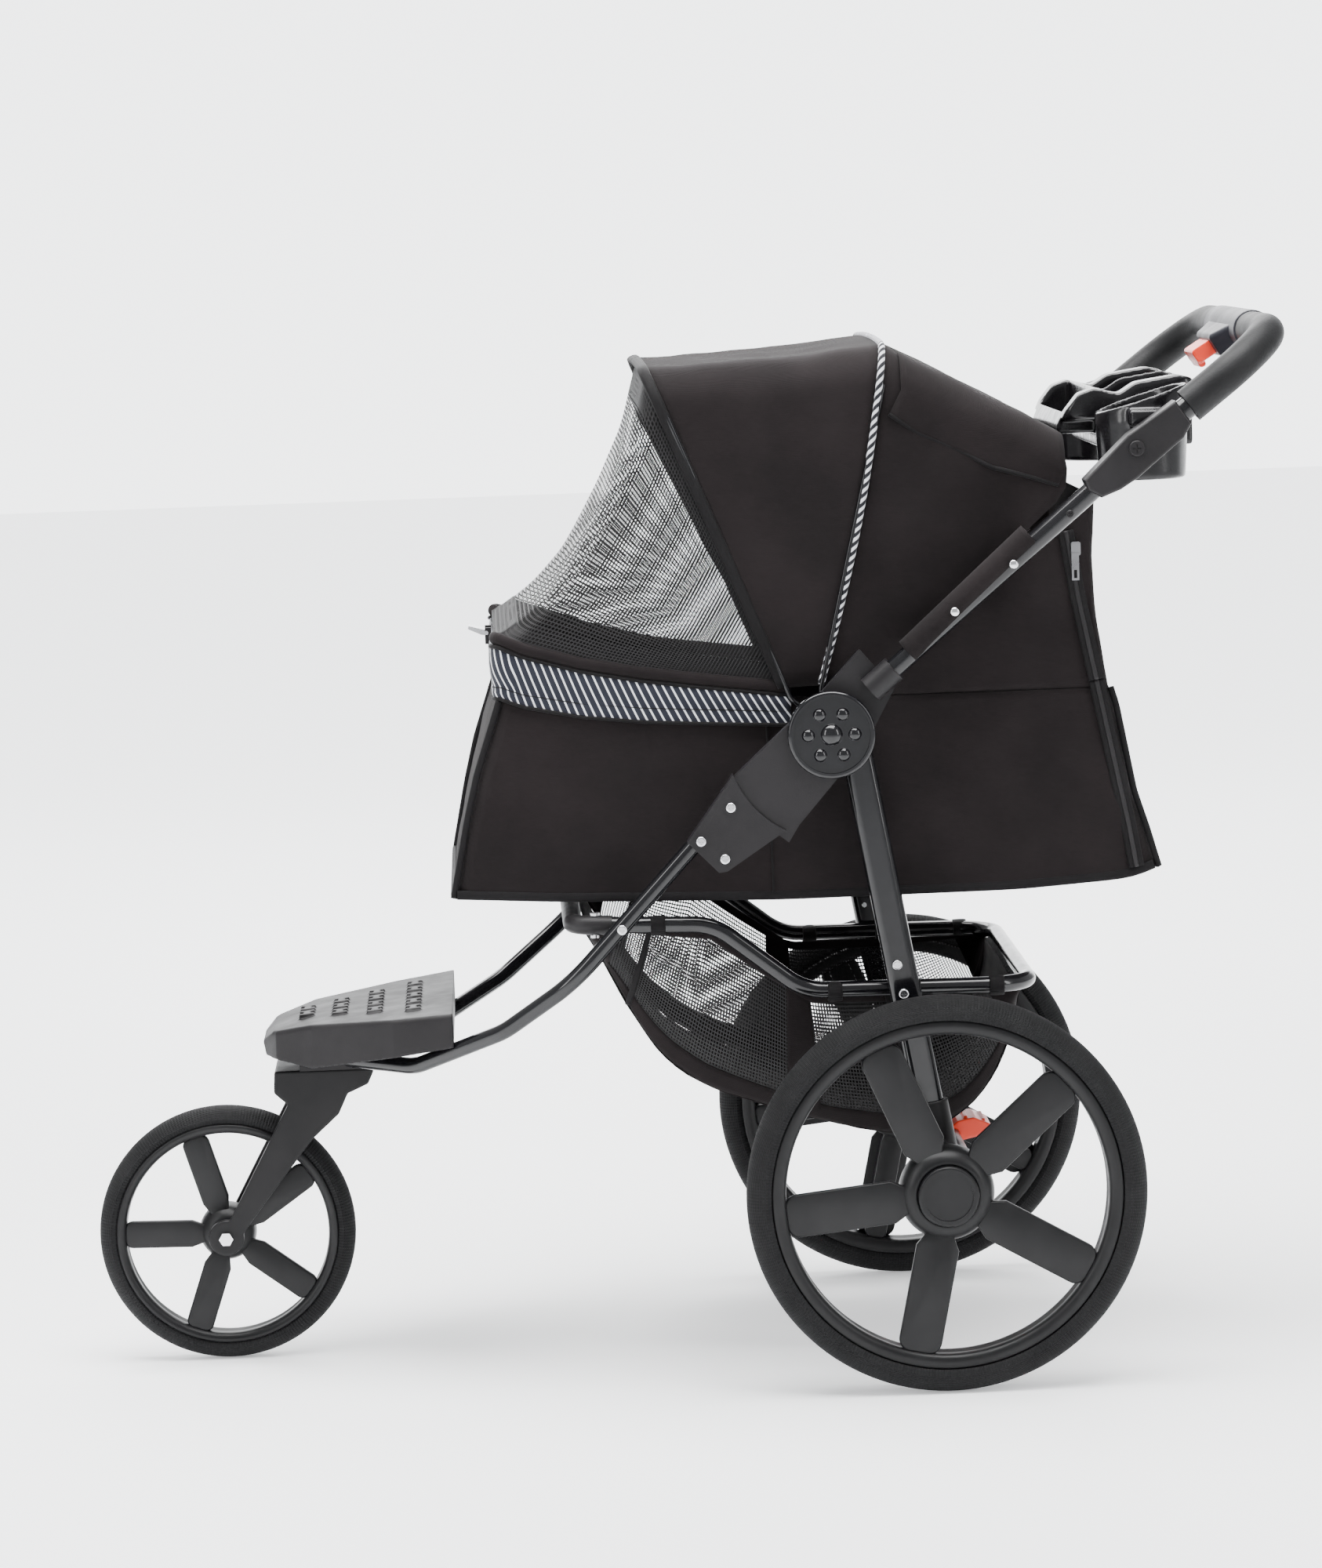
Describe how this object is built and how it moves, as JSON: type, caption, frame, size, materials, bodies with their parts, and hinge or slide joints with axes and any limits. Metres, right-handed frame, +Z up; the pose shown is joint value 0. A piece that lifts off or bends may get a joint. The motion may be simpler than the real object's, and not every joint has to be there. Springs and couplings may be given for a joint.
{
  "type": "pet stroller",
  "caption": "Folding three-wheel pet stroller: soft cabin with mesh front, swivelling front caster, spoked rear wheels, lower basket and a looped handle with cup tray.",
  "frame": {"origin": "bottom centre of the whole stroller's box, on the floor in the middle plane", "axes": "+X forward towards the single front wheel, +Y the stroller's left, +Z up"},
  "size_m": [1.1725, 0.604, 1.0065],
  "materials": {
    "frame_black": "gloss",
    "moulded_grey": "satin",
    "hub_gloss": "gloss",
    "bright_steel": "polished",
    "dark_steel": "satin",
    "cloth_dark": "matte",
    "cloth_lining": "matte",
    "striped_cloth": "matte",
    "mesh_black": "matte",
    "board": "matte",
    "foam_grip": "matte",
    "tray_gloss": "gloss",
    "red_plastic": "satin",
    "tyre_foam": "matte",
    "rim_black": "satin",
    "step_rubber": "matte"
  },
  "bodies": {
    "front_frame": {"front_tube_left": "frame_black", "front_tube_right": "frame_black", "lower_arm_left": "moulded_grey", "lower_arm_right": "moulded_grey", "hub_covers": "hub_gloss", "frame_bolts": "bright_steel", "hub_bolts": "dark_steel", "step": "step_rubber", "fork_socket": "moulded_grey", "cabin_tub": "cloth_dark", "floor_board": "board", "cabin_mat": "cloth_lining", "rim_band": "striped_cloth", "rear_panel": "cloth_dark", "latch_base": "moulded_grey"},
    "handle_frame": {"hub_plates": "moulded_grey", "upper_tube_left": "frame_black", "upper_tube_right": "frame_black", "tube_cover_left": "moulded_grey", "tube_cover_right": "moulded_grey", "cover_buttons": "moulded_grey", "handle_loop": "frame_black", "grip_left": "foam_grip", "grip_right": "foam_grip", "trigger_housing": "moulded_grey", "tray": "tray_gloss", "rear_canopy": "cloth_dark"},
    "fold_trigger": {"fold_trigger": "red_plastic"},
    "mid_bow": {"mid_bow": "frame_black", "canopy_hood": "cloth_dark"},
    "front_bow": {"front_bow": "frame_black", "mesh_window": "mesh_black"},
    "rear_frame": {"leg_left": "frame_black", "leg_right": "frame_black", "leg_bolts": "bright_steel", "leg_sockets": "moulded_grey", "cross_tube": "frame_black", "rear_axle": "dark_steel"},
    "brake_pedal": {"brake_pedal": "red_plastic", "brake_rod": "dark_steel"},
    "brake_pin_left": {"brake_pin_left": "dark_steel"},
    "brake_pin_right": {"brake_pin_right": "dark_steel"},
    "rear_wheel_left": {"rear_tyre_left": "tyre_foam", "rear_rim_left": "rim_black", "rear_cap_left": "rim_black"},
    "rear_wheel_right": {"rear_tyre_right": "tyre_foam", "rear_rim_right": "rim_black", "rear_cap_right": "rim_black"},
    "basket_frame": {"basket_tube": "frame_black", "basket_front_bar": "moulded_grey", "bar_bolts": "bright_steel", "basket_bag": "cloth_dark"},
    "caster_fork": {"fork": "moulded_grey", "fork_stem": "dark_steel", "front_axle": "bright_steel"},
    "front_wheel": {"front_tyre": "tyre_foam", "front_rim": "rim_black"},
    "front_latch": {"front_latch": "bright_steel"},
    "zip_pull_left": {"zip_pull_left": "bright_steel"},
    "zip_pull_right": {"zip_pull_right": "bright_steel"}
  },
  "joints": [
    {"name": "handle_fold", "type": "hinge", "parent": "front_frame", "child": "handle_frame", "pos_m": [-0.14075, 0, 0.626], "axis": [0, 1, 0], "range_deg": [0, 120], "deforming": ["rear_panel", "rear_canopy", "canopy_hood", "mesh_window"]},
    {"name": "rear_frame_fold", "type": "hinge", "parent": "handle_frame", "child": "rear_frame", "pos_m": [-0.16375, 0, 0.62], "axis": [0, 1, 0], "range_deg": [-112, 0.5]},
    {"name": "mid_bow_fold", "type": "hinge", "parent": "handle_frame", "child": "mid_bow", "pos_m": [-0.14075, 0, 0.626], "axis": [0, 1, 0], "range_deg": [-15.5, 0.2]},
    {"name": "front_bow_fold", "type": "hinge", "parent": "mid_bow", "child": "front_bow", "pos_m": [-0.14075, 0, 0.626], "axis": [0, 1, 0], "range_deg": [-31, 0.2]},
    {"name": "basket_fold", "type": "hinge", "parent": "front_frame", "child": "basket_frame", "pos_m": [0.06225, 0, 0.446], "axis": [0, 1, 0], "range_deg": [-0.2, 8.6]},
    {"name": "trigger_squeeze", "type": "slide", "parent": "handle_frame", "child": "fold_trigger", "axis": [-0.8499, 0, 0.5269], "range_m": [0, 0.008], "stiffness_N_per_m": 400, "springref_m": -0.004},
    {"name": "fork_swivel", "type": "hinge", "parent": "front_frame", "child": "caster_fork", "pos_m": [0.35825, 0, 0.3], "axis": [0, 0, 1], "continuous": true},
    {"name": "front_wheel_spin", "type": "hinge", "parent": "caster_fork", "child": "front_wheel", "pos_m": [0.45925, 0, 0.127], "axis": [0, 1, 0], "continuous": true},
    {"name": "rear_wheel_left_spin", "type": "hinge", "parent": "rear_frame", "child": "rear_wheel_left", "pos_m": [-0.23475, 0.28, 0.19], "axis": [0, 1, 0], "continuous": true},
    {"name": "rear_wheel_right_spin", "type": "hinge", "parent": "rear_frame", "child": "rear_wheel_right", "pos_m": [-0.23475, -0.28, 0.19], "axis": [0, 1, 0], "continuous": true},
    {"name": "brake_press", "type": "hinge", "parent": "rear_frame", "child": "brake_pedal", "pos_m": [-0.26475, 0, 0.2], "axis": [0, -1, 0], "range_deg": [0, 25]},
    {"name": "brake_pin_left_slide", "type": "slide", "parent": "rear_frame", "child": "brake_pin_left", "axis": [0, 1, 0], "range_m": [0, 0.0065]},
    {"name": "brake_pin_right_slide", "type": "slide", "parent": "rear_frame", "child": "brake_pin_right", "axis": [0, -1, 0], "range_m": [0, 0.0065]},
    {"name": "latch_lift", "type": "hinge", "parent": "front_frame", "child": "front_latch", "pos_m": [0.18025, 0, 0.715], "axis": [0, -1, 0], "range_deg": [0, 60]},
    {"name": "zip_left_slide", "type": "slide", "parent": "front_frame", "child": "zip_pull_left", "axis": [-0.1807, 0, -0.9835], "range_m": [0, 0.29]},
    {"name": "zip_right_slide", "type": "slide", "parent": "front_frame", "child": "zip_pull_right", "axis": [-0.1807, 0, -0.9835], "range_m": [0, 0.29]}
  ],
  "couplings": [
    {"joint": "rear_frame_fold", "follows": "handle_fold", "ratio": -0.93},
    {"joint": "mid_bow_fold", "follows": "handle_fold", "ratio": -0.127},
    {"joint": "front_bow_fold", "follows": "handle_fold", "ratio": -0.256},
    {"joint": "basket_fold", "follows": "handle_fold", "ratio": 0.07},
    {"joint": "brake_pin_left_slide", "follows": "brake_press", "m_per_rad": 0.01375},
    {"joint": "brake_pin_right_slide", "follows": "brake_press", "m_per_rad": 0.01375}
  ]
}
